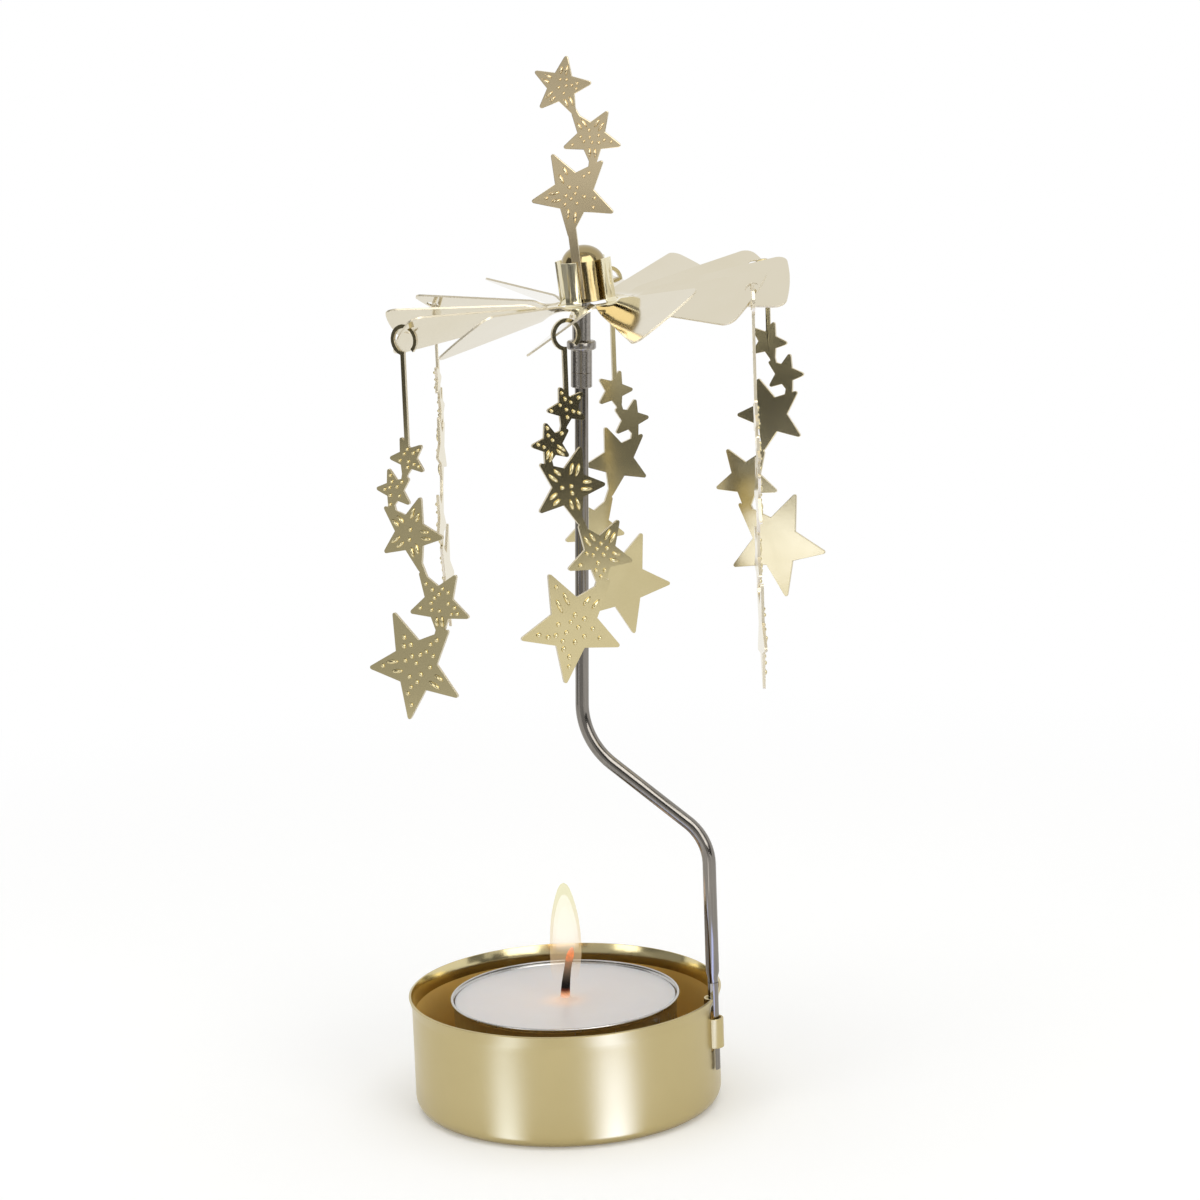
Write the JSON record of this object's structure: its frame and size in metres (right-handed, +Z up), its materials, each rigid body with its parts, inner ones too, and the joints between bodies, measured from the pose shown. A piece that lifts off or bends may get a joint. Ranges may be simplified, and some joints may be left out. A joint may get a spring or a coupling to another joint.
{
  "type": "rotating candle holder",
  "caption": "Brass rotating candle holder: a tealight in a round cup, a bent rod clipped to its rim and a bladed wheel hung with star pendants that turns on a needle.",
  "frame": {"origin": "centre of the cup's underside", "axes": "+Z up through the candle, +X from the cup's centre through the rod's foot, +Y completes the right-handed frame"},
  "size_m": [0.0674, 0.0761, 0.1719],
  "materials": {
    "satin_brass": "satin",
    "polished_brass": "polished",
    "steel": "drawn wire",
    "aluminium": "bright pressed foil",
    "wax": "smooth wax",
    "wick": "charred braid"
  },
  "bodies": {
    "base": {"candle_cup": "satin_brass"},
    "tealight": {"tealight_shell": "aluminium", "tealight_wax": "wax", "wick_sustainer": "aluminium", "wick": "wick"},
    "stand": {"stand_rod": "steel", "pivot_sleeve": "steel", "needle_pin": "steel"},
    "rotor": {"rotor_wheel": "satin_brass", "hub_cap": "polished_brass", "top_ornament": "satin_brass"},
    "pendant_1": {"pendant_1": "satin_brass"},
    "pendant_2": {"pendant_2": "satin_brass"},
    "pendant_3": {"pendant_3": "satin_brass"},
    "pendant_4": {"pendant_4": "satin_brass"},
    "pendant_5": {"pendant_5": "satin_brass"},
    "pendant_6": {"pendant_6": "satin_brass"}
  },
  "joints": [
    {"name": "tealight_lift", "type": "slide", "parent": "base", "child": "tealight", "axis": [0, 0, 1], "range_m": [0, 0.022]},
    {"name": "rod_lift", "type": "slide", "parent": "base", "child": "stand", "axis": [0, 0, 1], "range_m": [0, 0.02]},
    {"name": "rotor_spin", "type": "hinge", "parent": "stand", "child": "rotor", "pos_m": [0.00758, 0, 0.14145], "axis": [0, 0, 1], "continuous": true},
    {"name": "pendant_1_swing", "type": "hinge", "parent": "rotor", "child": "pendant_1", "pos_m": [0.03792, -0.0102, 0.13452], "axis": [0.9515, 0.3078, 0], "range_deg": [-20, 20]},
    {"name": "pendant_2_swing", "type": "hinge", "parent": "rotor", "child": "pendant_2", "pos_m": [0.03218, 0.02076, 0.13526], "axis": [0.2273, 0.9738, 0], "range_deg": [-20, 20]},
    {"name": "pendant_3_swing", "type": "hinge", "parent": "rotor", "child": "pendant_3", "pos_m": [0.00252, 0.03137, 0.13315], "axis": [-0.7042, 0.71, 0], "range_deg": [-20, 20]},
    {"name": "pendant_4_swing", "type": "hinge", "parent": "rotor", "child": "pendant_4", "pos_m": [-0.02137, 0.01088, 0.13028], "axis": [-0.9736, -0.2282, 0], "range_deg": [-20, 20]},
    {"name": "pendant_5_swing", "type": "hinge", "parent": "rotor", "child": "pendant_5", "pos_m": [-0.0155, -0.02014, 0.12954], "axis": [-0.2792, -0.9602, 0], "range_deg": [-20, 20]},
    {"name": "pendant_6_swing", "type": "hinge", "parent": "rotor", "child": "pendant_6", "pos_m": [0.01414, -0.0306, 0.13167], "axis": [0.725, -0.6888, 0], "range_deg": [-20, 20]}
  ]
}
